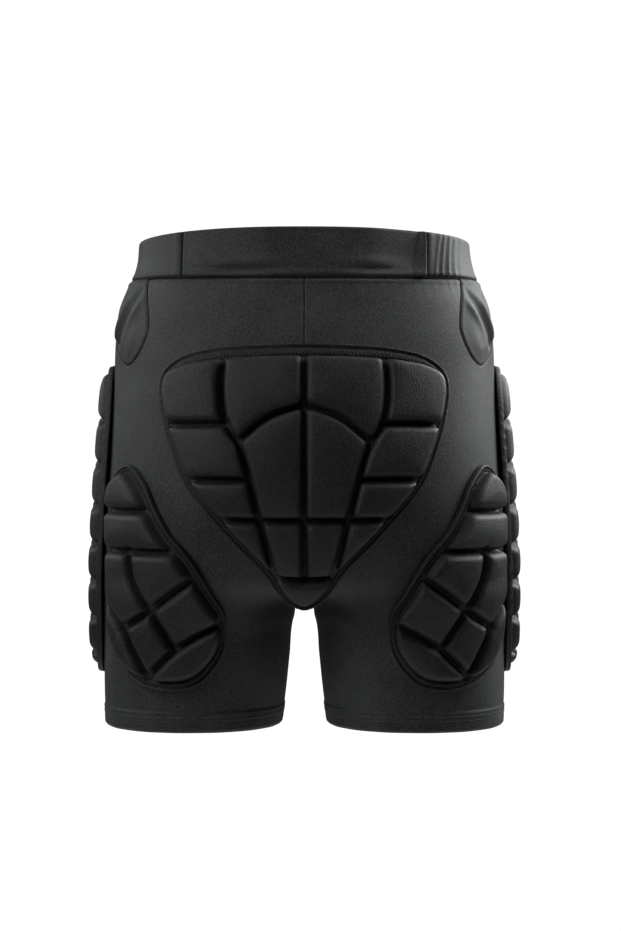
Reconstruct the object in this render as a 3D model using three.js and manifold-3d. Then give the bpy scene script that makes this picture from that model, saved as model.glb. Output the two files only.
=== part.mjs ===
// Padded protective shorts in the shape they have when worn: a hollow shell of stretch cloth that carries
// a tail pad, two thigh pads and two hip pads of moulded foam blocks, each on a backing with a raised rim.
// Millimetres. +Z is up, +Y is towards the wearer's front and +X towards the wearer's right.
// The origin is the centre of the waist opening, level with the rim at the sides.
import * as THREE from "three";
import { mergeVertices } from "three/addons/utils/BufferGeometryUtils.js";
import Module from "manifold-3d";

const wasm = await Module();
wasm.setup();

// Body: the outside of the cloth.
const RISE = 303; // waist rim at the sides down to the crotch
const INSEAM = 115; // crotch down to the hems
const WAIST_WIDTH = 287;
const WAIST_BACK = 100; // depth from the side line to the back of the rim
const WAIST_FRONT = 94;
const HIP_WIDTH = 350;
const SEAT_DEPTH = 136.5; // side line back to the fullest part of the seat
const BELLY_DEPTH = 105.5;
const LEG_WIDTH = 153; // at the hem
const LEG_GAP = 40; // between the hems
const LEG_BACK = 84.5;
const LEG_FRONT = 84;
const SQUARENESS = 2.3; // exponent of the superellipse that each level follows

// Cloth and seams.
const CLOTH = 2;
const SEAM_GAP = 0.3; // between neighbouring pieces
const HEM_HEIGHT = 17;
const HEM_RISE = 0.8; // how far the turned-up hem stands proud
const BAND_SIDE = 34; // waistband height at the sides
const BAND_BACK = 38; // waist seam below the origin at the back
const BAND_FRONT = 37;
const BAND_THICKNESS = 3;
const RIM_BACK = 4.3; // how far the rim rises at the back
const RIM_FRONT = -6;
const BAND_SEAM_X = 102; // the back section of the band ends here on both sides
const GUSSET_BACK = 81; // back edge of the hip gusset, behind the side line
const GUSSET_FRONT = 6;
const GUSSET_DROP = 109; // lowest point of the gusset below the origin
const GUSSET_RISE = 0.8; // how far the gusset stands proud
const GUSSET_FOLD = 1.6; // height of its folds
const GUSSET_FOLD_PITCH = 27;
const GUSSET_FOLD_LEAN = 0.6; // folds lean forward by this share of their drop

// Pads.
const PAD_CLEARANCE = 1.2; // backing to cloth, room for the facets of both
const BACKING = 1.6;
const PAD_RIM = 3.4; // height of the rim round the backing
const RIM_WIDTH = 5.2;
const FOAM_CLEARANCE = 1; // foam to backing and to the rim
const TAIL_FOAM = 10.5; // thickness of the foam blocks
const THIGH_FOAM = 9.5;
const HIP_FOAM = 9.5;
const GROOVE_FLOOR = 3; // width of a groove at its bottom
const GROOVE_WEB = 1.4; // foam left under a groove
const GROOVE_SPLAY = 3.6; // how far each wall of a groove leans out over its height
const FIELD_ROUNDING = 5; // bevel all round the field of blocks
const TAIL_PAD_WIDTH = 237;
const TAIL_PAD_HEIGHT = 218;
const TAIL_PAD_DROP = 95; // top of the pad below the origin
const THIGH_PAD_WIDTH = 116; // measured round the thigh
const THIGH_PAD_HEIGHT = 189;
const THIGH_PAD_DROP = 193.5;
const THIGH_PAD_TURN = { right: 18.5, left: 15 }; // degrees from straight back to the pad's middle
const THIGH_AXIS = 95; // distance of the thigh's axis from the middle
const THIGH_RADIUS = 100; // turns degrees round the thigh into millimetres
const HIP_PAD_WIDTH = 100;
const HIP_PAD_HEIGHT = 269;
const HIP_PAD_DROP = 106;
const HIP_PAD_FORWARD = 6; // the pad's middle in front of the side line
const HIP_PAD_FLATNESS = 0.7; // 1 is a flat plate, 0 follows the cloth
const HIP_COLUMN = 30; // width of the middle column of blocks
const HIP_ROW_SAG = 16; // how far the grooves between rows fall from the middle to the pad's edges

// Fineness of the facets.
const RING_POINTS = 28;
const BAND_POINTS_BACK = 10;
const BAND_POINTS_FRONT = 26;
const OUTLINE_POINTS = 28;
const GUSSET_RINGS = 8;
const GUSSET_POINTS = 11;
const GUSSET_OUTLINE_POINTS = 20;
const SEAM_POINTS = 16;
const BEND_TOLERANCE = 0.9; // how far a facet of a pad may stray from its bent surface
const SHORTEST_EDGE = 8; // edges under this aren't split for it
const GROOVE_STEP = 50;
const TORSO_RINGS = [0.08, 0.2, 0.32, 0.44, 0.56, 0.67, 0.77, 0.86, 0.93, 0.97, 1.005]; // shares of RISE
const LEG_RINGS = [0.18, 0.5]; // shares of INSEAM

const LENGTH = RISE + INSEAM;

// Levels of the body from the waist to the hems. Down the torso, at is a share of RISE, half of half the
// width, and apart places the leg's centre as a share of half the hip width.
const TORSO_LEVELS = [
  { at: 0, of: "waist", half: 1, apart: 0, back: 1, front: 1 },
  { at: 0.056, of: "waist", half: 1.014, apart: 0, back: 1.02, front: 1.02 },
  { at: 0.124, of: "waist", half: 1.059, apart: 0, back: 1.06, front: 1.064 },
  { at: 0.193, of: "hips", half: 0.917, apart: 0, back: 0.82, front: 0.976 },
  { at: 0.276, of: "hips", half: 0.943, apart: 0, back: 0.879, front: 0.995 },
  { at: 0.386, of: "hips", half: 0.949, apart: 0, back: 0.945, front: 1 },
  { at: 0.495, of: "hips", half: 0.957, apart: 0.017, back: 0.985, front: 0.995 },
  { at: 0.62, of: "hips", half: 0.971, apart: 0.063, back: 1, front: 0.967 },
  { at: 0.746, of: "hips", half: 0.985, apart: 0.143, back: 0.982, front: 0.938 },
  { at: 0.855, of: "hips", half: 0.994, apart: 0.246, back: 0.923, front: 0.91 },
  { at: 0.95, of: "hips", half: 1, apart: 0.371, back: 0.835, front: 0.882 },
  { at: 1, of: "hips", half: 1, apart: 0.494, back: 0.777, front: 0.867 },
];

// Down the legs, at is a share of INSEAM and the others are shares of the sizes at the hem.
const LEG_LEVELS = [
  { at: 0.2, gap: 0.45, wide: 1.085, back: 1.16, front: 1.065 },
  { at: 0.49, gap: 0.65, wide: 1.059, back: 1.077, front: 1.036 },
  { at: 0.75, gap: 0.82, wide: 1.034, back: 1.03, front: 1.018 },
  { at: 1, gap: 1, wide: 1, back: 1, front: 1 },
];

// Outline of the gusset: along is a share from its back edge to its front edge, down a share of its drop.
const GUSSET_OUTLINE = [
  { along: 0.33, down: 0.2 },
  { along: 0.26, down: 0.37 },
  { along: 0.1, down: 0.56 },
  { along: 0, down: 0.76 },
  { along: 0.06, down: 0.93 },
  { along: 0.19, down: 1 },
  { along: 0.36, down: 0.96 },
  { along: 0.6, down: 0.83 },
  { along: 0.84, down: 0.62 },
  { along: 0.96, down: 0.42 },
  { along: 1, down: 0.2 },
];

// Pad outlines and grooves: across is a share of half the pad's width, down a share of its height.
const TAIL_OUTLINE_HALF = [
  { across: 0, down: 0 },
  { across: 0.31, down: 0.004 },
  { across: 0.63, down: 0.016 },
  { across: 0.85, down: 0.046 },
  { across: 0.97, down: 0.1 },
  { across: 1, down: 0.17 },
  { across: 0.98, down: 0.26 },
  { across: 0.93, down: 0.367 },
  { across: 0.82, down: 0.523 },
  { across: 0.64, down: 0.649 },
  { across: 0.47, down: 0.752 },
  { across: 0.295, down: 0.849 },
  { across: 0.175, down: 0.94 },
  { across: 0.085, down: 0.984 },
];
const TAIL_GROOVES = [
  { name: "middle", mirrored: false, path: [[0, -0.05], [0, 0.24], [0, 0.86]] },
  {
    name: "side",
    mirrored: true,
    path: [[0.5, -0.05], [0.55, 0.15], [0.52, 0.3], [0.43, 0.385], [0.3, 0.656], [0.2, 0.86]],
  },
  { name: "arch", mirrored: true, path: [[0, 0.234], [0.245, 0.282], [0.445, 0.37]] },
  { name: "upper", mirrored: true, path: [[0.52, 0.305], [1.1, 0.305]] },
  { name: "lower", mirrored: true, path: [[0.4, 0.508], [1.05, 0.508]] },
  { name: "belt", mirrored: false, path: [[-0.8, 0.651], [0, 0.651], [0.8, 0.651]] },
  { name: "tip", mirrored: false, path: [[-0.32, 0.852], [0, 0.864], [0.32, 0.852]] },
];
const THIGH_OUTLINE = [
  { across: 0.43, down: 0 },
  { across: 0.83, down: 0.05 },
  { across: 0.985, down: 0.13 },
  { across: 0.98, down: 0.25 },
  { across: 0.96, down: 0.37 },
  { across: 0.955, down: 0.6 },
  { across: 0.955, down: 0.75 },
  { across: 0.79, down: 0.88 },
  { across: 0.42, down: 0.97 },
  { across: -0.1, down: 1 },
  { across: -0.55, down: 0.975 },
  { across: -0.79, down: 0.915 },
  { across: -0.96, down: 0.83 },
  { across: -1, down: 0.745 },
  { across: -0.94, down: 0.643 },
  { across: -0.79, down: 0.57 },
  { across: -0.47, down: 0.39 },
  { across: -0.25, down: 0.3 },
  { across: -0.05, down: 0.185 },
  { across: 0.12, down: 0.08 },
];
const THIGH_GROOVES = [
  { name: "crown", path: [[-0.1, 0.2], [0.5, 0.204], [1.15, 0.2]] },
  { name: "waist", path: [[-0.45, 0.37], [0.3, 0.376], [1.15, 0.374]] },
  { name: "spine", path: [[0.32, 0.37], [0.26, 0.505], [0.055, 0.625], [-0.22, 0.785]] },
  { name: "cross", path: [[-0.65, 0.455], [0.055, 0.625], [0.5, 0.715]] },
  { name: "heel", path: [[-0.98, 0.665], [-0.31, 0.79], [0.17, 0.925]] },
  { name: "flank", path: [[0.95, 0.555], [0.52, 0.705], [0.38, 0.8], [0.15, 0.95]] },
];
// Grooves between the hip pad's rows of blocks, at its middle, as shares of its height.
const HIP_ROWS = [0.155, 0.291, 0.42, 0.542, 0.662, 0.782, 0.907];
const HIP_OUTLINE_HALF = [
  { across: 0, down: 0 },
  { across: 0.46, down: 0.018 },
  { across: 0.74, down: 0.09 },
  { across: 0.9, down: 0.25 },
  { across: 1, down: 0.5 },
  { across: 0.95, down: 0.72 },
  { across: 0.78, down: 0.9 },
  { across: 0.45, down: 0.985 },
  { across: 0, down: 1 },
];

const COLOURS = { cloth: 0x2c2f30, band: 0x2a2d2e, gusset: 0x303334, backing: 0x232526, foam: 0x27292a };

// Sections of the body

function bodyLevels() {
  const sizes = {
    waist: { half: WAIST_WIDTH / 2, back: WAIST_BACK, front: WAIST_FRONT },
    hips: { half: HIP_WIDTH / 2, back: SEAT_DEPTH, front: BELLY_DEPTH },
  };
  const torso = TORSO_LEVELS.map((row) => {
    const size = sizes[row.of];
    const centre = (row.apart * HIP_WIDTH) / 2;
    return {
      drop: row.at * RISE,
      centre,
      half: row.half * size.half - centre,
      back: row.back * size.back,
      front: row.front * size.front,
    };
  });
  const legs = LEG_LEVELS.map((row) => ({
    drop: RISE + row.at * INSEAM,
    centre: (row.gap * LEG_GAP + row.wide * LEG_WIDTH) / 2,
    half: (row.wide * LEG_WIDTH) / 2,
    back: row.back * LEG_BACK,
    front: row.front * LEG_FRONT,
  }));
  return [...torso, ...legs];
}

const LEVELS = bodyLevels();

// Slope of one column at level i, as a cubic through the neighbouring levels has it.
function slopeAt(column, i) {
  const last = LEVELS.length - 1;
  const rate = (a, b) => (LEVELS[b][column] - LEVELS[a][column]) / (LEVELS[b].drop - LEVELS[a].drop);
  if (i === 0) return rate(0, 1);
  if (i === last) return rate(last - 1, last);
  const before = LEVELS[i].drop - LEVELS[i - 1].drop;
  const after = LEVELS[i + 1].drop - LEVELS[i].drop;
  return (rate(i - 1, i) * after + rate(i, i + 1) * before) / (before + after);
}

// The section of one side of the body at height z: its centre, half width and depths to back and front.
function sectionAt(z) {
  const drop = THREE.MathUtils.clamp(-z, 0, LENGTH);
  let i = 0;
  while (i < LEVELS.length - 2 && LEVELS[i + 1].drop < drop) i++;
  const span = LEVELS[i + 1].drop - LEVELS[i].drop;
  const t = (drop - LEVELS[i].drop) / span;
  const section = {};
  for (const column of ["centre", "half", "back", "front"]) {
    const from = LEVELS[i][column];
    const to = LEVELS[i + 1][column];
    const out = slopeAt(column, i) * span;
    const into = slopeAt(column, i + 1) * span;
    section[column] =
      (2 * t ** 3 - 3 * t ** 2 + 1) * from +
      (t ** 3 - 2 * t ** 2 + t) * out +
      (3 * t ** 2 - 2 * t ** 3) * to +
      (t ** 3 - t ** 2) * into;
  }
  return section;
}

// A point of the section's outline, at a turn measured from the outer side towards the front.
function sectionPoint(z, turn, grow = 0) {
  const { centre, half, back, front } = sectionAt(z);
  const power = (v) => Math.sign(v) * Math.abs(v) ** (2 / SQUARENESS);
  const depth = Math.sin(turn) < 0 ? back : front;
  const x = centre + (half + grow) * power(Math.cos(turn));
  return new THREE.Vector3(x, (depth + grow) * power(Math.sin(turn)), z);
}

// Share of the depth that is left at a share of the way from the section's centre to its edge.
const fallOff = (share) => Math.max(0, 1 - Math.min(1, share) ** SQUARENESS) ** (1 / SQUARENESS);

// Solids

const solidOf = (geometry) => {
  const bare = new THREE.BufferGeometry().setAttribute("position", geometry.getAttribute("position"));
  bare.setIndex(geometry.index);
  const merged = mergeVertices(bare, 1e-4);
  const vertProperties = new Float32Array(merged.getAttribute("position").array);
  const triVerts = new Uint32Array(merged.index.array);
  return new wasm.Manifold(new wasm.Mesh({ numProp: 3, vertProperties, triVerts }));
};

const geometryOf = (solid) => {
  const { vertProperties, triVerts } = solid.getMesh();
  const geometry = new THREE.BufferGeometry();
  geometry.setAttribute("position", new THREE.BufferAttribute(new Float32Array(vertProperties), 3));
  return geometry.setIndex(new THREE.BufferAttribute(new Uint32Array(triVerts), 1));
};

function indexedGeometry(points, faces) {
  const geometry = new THREE.BufferGeometry().setFromPoints(points);
  return geometry.setIndex(faces.flat());
}

// A closed skin over rings of equally many points, with a fan over each end unless the rings meet round.
function skinOver(rings, closed = false) {
  const count = rings[0].length;
  const points = rings.flat();
  const faces = [];
  const turns = closed ? rings.length : rings.length - 1;
  for (let r = 0; r < turns; r++) {
    for (let k = 0; k < count; k++) {
      const [a, b] = [r * count + k, r * count + ((k + 1) % count)];
      const next = ((r + 1) % rings.length) * count;
      const [c, d] = [next + k, next + ((k + 1) % count)];
      faces.push([a, b, d], [a, d, c]);
    }
  }
  if (!closed) {
    const last = (rings.length - 1) * count;
    for (const [ring, start, flip] of [[rings[0], 0, true], [rings.at(-1), last, false]]) {
      const middle = ring.reduce((sum, p) => sum.add(p), new THREE.Vector3()).divideScalar(count);
      const centre = points.push(middle) - 1;
      for (let k = 0; k < count; k++) {
        const [a, b] = [start + k, start + ((k + 1) % count)];
        faces.push(flip ? [centre, b, a] : [centre, a, b]);
      }
    }
  }
  return indexedGeometry(points, faces);
}

function mirrored(geometry) {
  const copy = geometry.clone().scale(-1, 1, 1);
  const index = copy.index.array;
  for (let i = 0; i < index.length; i += 3) [index[i + 1], index[i + 2]] = [index[i + 2], index[i + 1]];
  return copy;
}

// The right half of the body as a solid down to the hem, its surface moved out by grow.
function bodySolid(grow, past = 0, hemRise = 0) {
  const levels = TORSO_RINGS.map((share) => ({ z: -share * RISE, out: grow }));
  levels.push(...LEG_RINGS.map((share) => ({ z: -RISE - share * INSEAM, out: grow })));
  const hemTop = HEM_HEIGHT - LENGTH;
  levels.push({ z: hemTop, out: grow }, { z: hemTop - hemRise, out: grow + hemRise });
  levels.push({ z: -LENGTH - past, out: grow + hemRise });
  const rings = levels.map(({ z, out }) =>
    Array.from({ length: RING_POINTS }, (_, k) => sectionPoint(z, (-2 * Math.PI * k) / RING_POINTS, out)),
  );
  return solidOf(skinOver(rings));
}

function boxSolid(low, high) {
  const size = high.clone().sub(low);
  const middle = low.clone().add(high).divideScalar(2);
  return solidOf(new THREE.BoxGeometry(size.x, size.y, size.z).translate(middle.x, middle.y, middle.z));
}

// A shape drawn in the YZ plane, extruded along X between two places.
function sideways(points, from, to) {
  const shape = new THREE.Shape(points.map(([y, z]) => new THREE.Vector2(y, z)));
  const geometry = new THREE.ExtrudeGeometry(shape, { depth: to - from, bevelEnabled: false });
  geometry.applyMatrix4(new THREE.Matrix4().set(0, 0, 1, from, 1, 0, 0, 0, 0, 1, 0, 0, 0, 0, 0, 1));
  return solidOf(geometry);
}

// Waistband

const seamZ = (y) => {
  const [far, low] = y < 0 ? [WAIST_BACK, BAND_BACK] : [WAIST_FRONT, BAND_FRONT];
  return -(BAND_SIDE + (low - BAND_SIDE) * (y / far) ** 2);
};

const rimZ = (y) => (y < 0 ? RIM_BACK * (y / WAIST_BACK) ** 2 : RIM_FRONT * (y / WAIST_FRONT) ** 2);

// Cross-section of the band: out from its inner face and up from the waist seam, as shares.
const BAND_PROFILE = [
  { out: 0, up: 0 },
  { out: 0.9, up: 0 },
  { out: 1, up: 0.12 },
  { out: 1, up: 0.9 },
  { out: 0.75, up: 1 },
  { out: 0.1, up: 1 },
];

// Puckers of the band beside its seam on the wearer's right, as shares of the way round its front section.
const PUCKERS = { first: -0.985, pitch: 0.026, count: 4, depth: 1 };

function puckerAt(share) {
  const along = (share - PUCKERS.first) / PUCKERS.pitch;
  return along < 0 || along > PUCKERS.count ? 0 : PUCKERS.depth * Math.sin(Math.PI * along) ** 2;
}

// The turn at which a level of the band passes its seam, behind the side line.
const bandSeamTurn = (z) => Math.acos((BAND_SEAM_X / sectionAt(z).half) ** (SQUARENESS / 2));

// The height of a point depends on its depth and the reverse, so both are found in a few passes.
const BAND_PASSES = 5;

// A point of the band: share runs from -1 to 1 between its seams, round the side that it lies on.
function bandPoint(share, front, row) {
  const middle = front ? Math.PI / 2 : -Math.PI / 2;
  let z = 0;
  let turn = 0;
  for (let pass = 0; pass < BAND_PASSES; pass++) {
    const spread = Math.PI / 2 + (front ? 1 : -1) * bandSeamTurn(z);
    turn = middle + share * spread;
    const { y } = sectionPoint(z, turn);
    const low = seamZ(y) + SEAM_GAP / 2;
    z = low + row.up * (rimZ(y) - low);
  }
  const swell = front && row.out > 0.5 ? puckerAt(share) : 0;
  return sectionPoint(z, turn, -CLOTH + row.out * BAND_THICKNESS + swell).setZ(z);
}

function bandSection(front) {
  const end = 1 - SEAM_GAP / BAND_SEAM_X;
  const steps = front ? BAND_POINTS_FRONT : BAND_POINTS_BACK;
  const shares = Array.from({ length: steps + 1 }, (_, k) => end * ((2 * k) / steps - 1));
  if (front) {
    for (let k = 0; k <= 2 * PUCKERS.count; k++) shares.push(PUCKERS.first + (k * PUCKERS.pitch) / 2);
  }
  shares.sort((a, b) => a - b);
  return skinOver(shares.map((share) => BAND_PROFILE.map((row) => bandPoint(share, front, row)).reverse()));
}

// Cloth panels and gussets

function gussetPrism(shrink) {
  const width = GUSSET_BACK - GUSSET_FRONT;
  const path = GUSSET_OUTLINE.map(({ along, down }) => {
    return new THREE.Vector3(-GUSSET_BACK + along * width, -down * GUSSET_DROP, 0);
  });
  const curve = new THREE.CatmullRomCurve3(path, false, "centripetal");
  const outline = curve.getSpacedPoints(GUSSET_OUTLINE_POINTS).map((p) => new THREE.Vector2(p.x, p.y));
  const points = inset(outline, shrink).map((p) => [p.x, p.y]);
  return sideways(points, HIP_WIDTH / 4, HIP_WIDTH);
}

function aboveSeam(margin) {
  const reach = SEAT_DEPTH + BELLY_DEPTH;
  const points = [[-reach, LENGTH], [reach, LENGTH]];
  for (let k = 0; k <= SEAM_POINTS; k++) {
    const y = reach - (2 * reach * k) / SEAM_POINTS;
    points.push([y, seamZ(y) - margin]);
  }
  return sideways(points, -HIP_WIDTH, HIP_WIDTH);
}

function rightPanel() {
  const reach = 2 * HIP_WIDTH;
  const corner = new THREE.Vector3(-reach, -reach, -reach);
  const otherSide = boxSolid(corner, new THREE.Vector3(SEAM_GAP / 2, reach, reach));
  const wall = bodySolid(0, 0, HEM_RISE).subtract(bodySolid(-CLOTH, HEM_HEIGHT));
  return wall.subtract(otherSide).subtract(aboveSeam(SEAM_GAP / 2)).subtract(gussetPrism(0));
}

// The patch that the gusset is cut from: top and bottom as shares of its drop, front and back as turns.
const GUSSET_PATCH = { top: 0.2, bottom: 1.05, front: 0.1, back: -1.2 };

// A patch of cloth over the hip, fuller than the panel round it and thrown into leaning folds.
function rightGusset() {
  const { top, bottom, front, back } = GUSSET_PATCH;
  const rings = [];
  for (let k = 0; k <= GUSSET_RINGS; k++) {
    const z = -GUSSET_DROP * THREE.MathUtils.lerp(top, bottom, k / GUSSET_RINGS);
    const turns = Array.from({ length: GUSSET_POINTS + 1 }, (_, i) =>
      THREE.MathUtils.lerp(front, back, i / GUSSET_POINTS),
    );
    const outer = turns.map((turn) => {
      const { y } = sectionPoint(z, turn);
      const phase = (y - GUSSET_FOLD_LEAN * z) / GUSSET_FOLD_PITCH;
      return sectionPoint(z, turn, GUSSET_RISE + GUSSET_FOLD * Math.sin(Math.PI * phase) ** 4);
    });
    const inner = turns.map((turn) => sectionPoint(z, turn, -CLOTH));
    rings.push([...outer, ...inner.reverse()]);
  }
  return solidOf(skinOver(rings)).intersect(gussetPrism(SEAM_GAP)).subtract(aboveSeam(SEAM_GAP / 2));
}

// Pads, drawn flat and then bent round the body

// Moves each point of a counter-clockwise outline inwards.
function inset(points, distance) {
  return points.map((p, k) => {
    const before = points[(k + points.length - 1) % points.length];
    const after = points[(k + 1) % points.length];
    const along = after.clone().sub(before).normalize();
    return new THREE.Vector2(p.x - along.y * distance, p.y + along.x * distance);
  });
}

const flatPoint = (pad, across, down) => new THREE.Vector2((across * pad.width) / 2, -down * pad.height);

// The pad's outline as a smooth counter-clockwise loop.
function padOutline(pad) {
  const path = pad.outline.map(({ across, down }) => {
    const { x, y } = flatPoint(pad, across, down);
    return new THREE.Vector3(x, y, 0);
  });
  const curve = new THREE.CatmullRomCurve3(path, true, "centripetal");
  const loop = curve.getSpacedPoints(OUTLINE_POINTS).slice(0, -1).map((p) => new THREE.Vector2(p.x, p.y));
  return THREE.ShapeUtils.isClockWise(loop) ? loop.reverse() : loop;
}

// A flat solid whose wall climbs through rings, each an inset of the outline at a height.
function flatSolid(outline, steps) {
  const count = outline.length;
  const points = [];
  const faces = [];
  for (const { inside, up } of steps) {
    for (const p of inset(outline, inside)) points.push(new THREE.Vector3(p.x, p.y, up));
  }
  for (let r = 0; r < steps.length - 1; r++) {
    for (let k = 0; k < count; k++) {
      const [a, b] = [r * count + k, r * count + ((k + 1) % count)];
      faces.push([a, b, b + count], [a, b + count, a + count]);
    }
  }
  const top = (steps.length - 1) * count;
  for (const [a, b, c] of THREE.ShapeUtils.triangulateShape(inset(outline, steps[0].inside), [])) {
    faces.push([c, b, a]);
  }
  for (const [a, b, c] of THREE.ShapeUtils.triangulateShape(inset(outline, steps.at(-1).inside), [])) {
    faces.push([top + a, top + b, top + c]);
  }
  return indexedGeometry(points, faces);
}

// A groove cutter: its section swept along a path across the pad.
function grooveSolid(pad, path, top) {
  const floor = foamBase() + GROOVE_WEB;
  const half = GROOVE_FLOOR / 2;
  const section = [
    [-half - GROOVE_SPLAY, top + GROOVE_WEB],
    [-half, floor],
    [half, floor],
    [half + GROOVE_SPLAY, top + GROOVE_WEB],
  ];
  const corners = path.map(([across, down]) => {
    const { x, y } = flatPoint(pad, across, down);
    return new THREE.Vector3(x, y, 0);
  });
  const curve = new THREE.CatmullRomCurve3(corners, false, "centripetal");
  const steps = Math.max(path.length - 1, Math.round(curve.getLength() / GROOVE_STEP));
  const rings = [];
  for (let k = 0; k <= steps; k++) {
    const at = curve.getPointAt(k / steps);
    const along = curve.getTangentAt(k / steps);
    const beside = ([side, up]) => new THREE.Vector3(at.x - along.y * side, at.y + along.x * side, up);
    rings.push(section.map(beside));
  }
  const solid = solidOf(skinOver(rings));
  return solid.volume() > 0 ? solid : solidOf(skinOver(rings.reverse()));
}

const foamBase = () => BACKING + FOAM_CLEARANCE;

function flatBacking(pad) {
  const chamfer = BACKING * 0.6;
  return flatSolid(padOutline(pad), [
    { inside: 0, up: 0 },
    { inside: 0, up: PAD_RIM - chamfer },
    { inside: chamfer, up: PAD_RIM },
    { inside: RIM_WIDTH - chamfer, up: PAD_RIM },
    { inside: RIM_WIDTH, up: BACKING },
  ]);
}

function flatFoam(pad) {
  const edge = RIM_WIDTH + FOAM_CLEARANCE;
  const top = foamBase() + pad.foam;
  const block = flatSolid(padOutline(pad), [
    { inside: edge, up: foamBase() },
    { inside: edge, up: top - FIELD_ROUNDING },
    { inside: edge + FIELD_ROUNDING, up: top },
  ]);
  return pad.grooves.reduce((solid, path) => solid.subtract(grooveSolid(pad, path, top)), solidOf(block));
}

// The place of a flat pad's point on the body: x and y are places on the surface, and z the height above it.
function bentPoint(surface, flat) {
  const step = 0.5;
  const across = surface(flat.x + step, flat.y).sub(surface(flat.x - step, flat.y));
  const upward = surface(flat.x, flat.y + step).sub(surface(flat.x, flat.y - step));
  const normal = across.cross(upward).normalize();
  return surface(flat.x, flat.y).addScaledVector(normal, flat.z + PAD_CLEARANCE);
}

// Bends a flat pad. Where an edge's middle would stray from the surface, its faces are halved at their
// longest edges until none does.
function bend(geometry, surface) {
  const position = geometry.getAttribute("position");
  const pointAt = (_, i) => new THREE.Vector3().fromBufferAttribute(position, i);
  const flat = Array.from({ length: position.count }, pointAt);
  const bent = flat.map((p) => bentPoint(surface, p));
  const faceAt = (_, f) => geometry.index.array.slice(3 * f, 3 * f + 3);
  let faces = Array.from({ length: geometry.index.count / 3 }, faceAt);
  const edges = new Map();
  const edgeOf = (a, b) => {
    const key = a < b ? `${a},${b}` : `${b},${a}`;
    if (!edges.has(key)) {
      const middle = flat[a].clone().lerp(flat[b], 0.5);
      const place = bentPoint(surface, middle);
      const length = flat[a].distanceTo(flat[b]);
      const stray = place.distanceTo(bent[a].clone().lerp(bent[b], 0.5));
      const strays = length > SHORTEST_EDGE && stray > BEND_TOLERANCE;
      edges.set(key, { middle, place, length, strays, at: -1 });
    }
    return edges.get(key);
  };
  const split = (edge) => {
    if (edge.at < 0) {
      edge.at = flat.push(edge.middle) - 1;
      bent.push(edge.place);
    }
    return true;
  };
  // The same face, turned so that its longest edge comes first.
  const turned = ([a, b, c]) => {
    const lengths = [edgeOf(a, b).length, edgeOf(b, c).length, edgeOf(c, a).length];
    return [[a, b, c], [b, c, a], [c, a, b]][lengths.indexOf(Math.max(...lengths))];
  };
  const splitsLongest = ([a, b, c]) => {
    const sides = [edgeOf(a, b), edgeOf(b, c), edgeOf(c, a)];
    return sides[0].at < 0 && sides.some((edge) => edge.strays || edge.at >= 0) && split(sides[0]);
  };
  for (let before = -1; before < flat.length; ) {
    before = flat.length;
    faces = faces.map(turned);
    while (faces.filter(splitsLongest).length > 0);
    faces = faces.flatMap(([a, b, c]) => {
      const [ab, bc, ca] = [edgeOf(a, b).at, edgeOf(b, c).at, edgeOf(c, a).at];
      if (ab < 0) return [[a, b, c]];
      const near = ca < 0 ? [[a, ab, c]] : [[a, ab, ca], [ca, ab, c]];
      const far = bc < 0 ? [[ab, b, c]] : [[ab, b, bc], [ab, bc, c]];
      return [...near, ...far];
    });
  }
  return indexedGeometry(bent, faces);
}

// The back of the shorts, stretched flat between the two halves of the seat.
function seatSurface(u, v) {
  const z = v - TAIL_PAD_DROP;
  const { centre, half, back } = sectionAt(z);
  return new THREE.Vector3(u, -back * fallOff(Math.max(0, Math.abs(u) - centre) / half), z);
}

// Halvings of the way from the thigh's axis, to find where a ray meets the cloth.
const HALVINGS = 40;

// A thigh, seen from its own axis: u runs round it from the pad's middle towards the outside.
const thighSurface = (degrees) => (u, v) => {
  const z = v - THIGH_PAD_DROP;
  const turn = THREE.MathUtils.degToRad(degrees) + u / THIGH_RADIUS;
  const { centre, half, back, front } = sectionAt(z);
  const depth = Math.cos(turn) > 0 ? back : front;
  let [near, far] = [0, HIP_WIDTH];
  for (let pass = 0; pass < HALVINGS; pass++) {
    const reach = (near + far) / 2;
    const x = Math.abs(THIGH_AXIS + reach * Math.sin(turn) - centre) / half;
    const y = Math.abs(reach * Math.cos(turn)) / depth;
    if (x ** SQUARENESS + y ** SQUARENESS < 1) near = reach;
    else far = reach;
  }
  return new THREE.Vector3(THIGH_AXIS + near * Math.sin(turn), -near * Math.cos(turn), z);
};

// The right hip, as a stiff plate that only partly follows the cloth: u runs from back to front.
function hipSurface(u, v) {
  const z = v - HIP_PAD_DROP;
  const y = u + HIP_PAD_FORWARD;
  const { centre, half, back, front } = sectionAt(z);
  const drop = half * (1 - fallOff(Math.abs(y) / (y < 0 ? back : front)));
  return new THREE.Vector3(centre + half - (1 - HIP_PAD_FLATNESS) * drop, y, z);
}

// The whole outline of a pad that is alike on both sides, from its right half.
function bothHalves(half) {
  const left = half.filter(({ across }) => across > 0).reverse();
  return [...half, { across: 0, down: 1 }, ...left.map(({ across, down }) => ({ across: -across, down }))]
    .filter((p, k, all) => k === 0 || p.across !== all[k - 1].across || p.down !== all[k - 1].down);
}

function bothWays(grooves) {
  return grooves.flatMap(({ path, mirrored: twice }) =>
    twice ? [path, path.map(([across, down]) => [-across, down])] : [path],
  );
}

// Grooves that divide the hip pad into rows of blocks in three columns.
function hipGrooves() {
  const columns = [-1, 1].map((side) => {
    const across = (side * HIP_COLUMN) / HIP_PAD_WIDTH;
    return [[across * 0.7, -0.05], [across, 0.3], [across, 0.7], [across * 0.7, 1.05]];
  });
  const sag = HIP_ROW_SAG / HIP_PAD_HEIGHT;
  const rows = HIP_ROWS.map((down) => [[-1.15, down + sag], [0, down], [1.15, down + sag]]);
  return [...columns, ...rows];
}

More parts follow.
